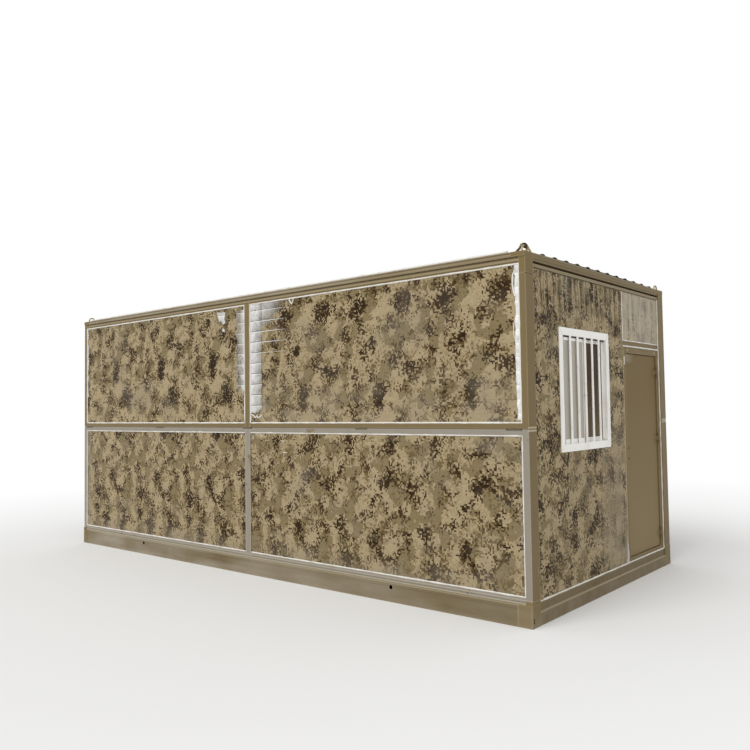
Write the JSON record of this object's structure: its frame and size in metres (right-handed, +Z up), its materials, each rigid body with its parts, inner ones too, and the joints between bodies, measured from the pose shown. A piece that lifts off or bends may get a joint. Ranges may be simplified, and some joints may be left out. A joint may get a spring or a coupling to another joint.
{
  "type": "folding container house",
  "caption": "Flat-packing steel container house with camouflage sandwich panels, walls split at mid height, a barred window and a hinged door.",
  "frame": {"origin": "centre of the underside of the base", "axes": "+X along the house towards the door end, +Z up, so -Y is the left long side seen from the door end"},
  "size_m": [5.8, 2.5, 2.5542],
  "materials": {
    "frame_paint": "olive-tan paint on steel, satin",
    "camouflage_sheet": "blocky camouflage print on ribbed steel sheet",
    "window_white": "white powder coat",
    "window_glass": "clear",
    "zinc_sheet": "bare zinc-coated steel",
    "floor_board": "wood-print floor sheet on board",
    "inner_white": "white coated sheet",
    "sealant": "white sealant bead",
    "protective_film": "leftover protective film",
    "webbing": "scrap of woven sling knotted on a lifting ring"
  },
  "bodies": {
    "house": {"base_beam_left": "frame_paint", "base_beam_right": "frame_paint", "base_beam_front": "frame_paint", "base_beam_rear": "frame_paint", "base_corners": "frame_paint", "floor_joists": "zinc_sheet", "floor_board": "floor_board", "left_lower_frame": "frame_paint", "left_lower_panels": "camouflage_sheet", "left_upper_frame": "frame_paint", "left_upper_panels": "camouflage_sheet", "left_fold_hinges": "frame_paint", "right_lower_frame": "frame_paint", "right_lower_panels": "camouflage_sheet", "right_upper_frame": "frame_paint", "right_upper_panels": "camouflage_sheet", "right_fold_hinges": "frame_paint", "front_wall_panel": "camouflage_sheet", "front_top_rail": "frame_paint", "front_window_frame": "window_white", "front_window_bars": "window_white", "front_window_sashes": "window_white", "front_window_glass": "window_glass", "transom_panel": "camouflage_sheet", "transom_bar": "frame_paint", "door_frame": "frame_paint", "door_hinge_jamb_leaves": "frame_paint", "rear_wall_panel": "camouflage_sheet", "rear_top_rail": "frame_paint", "rear_window_frame": "window_white", "rear_window_bars": "window_white", "rear_window_sashes": "window_white", "rear_window_glass": "window_glass", "roof_beam_left": "frame_paint", "roof_beam_right": "frame_paint", "roof_beam_front": "frame_paint", "roof_beam_rear": "frame_paint", "roof_corners": "frame_paint", "roof_joists": "zinc_sheet", "ceiling_panel": "inner_white", "roof_sheet": "zinc_sheet", "lifting_rings": "frame_paint"},
    "door": {"door_leaf": "frame_paint", "door_hinge_door_leaves": "frame_paint", "door_lock": "zinc_sheet"}
  },
  "joints": [
    {"name": "door_swing", "type": "hinge", "parent": "house", "child": "door", "pos_m": [2.8905, 1.0842, 1.098], "axis": [0, 0, 1], "range_deg": [0, 170]}
  ]
}
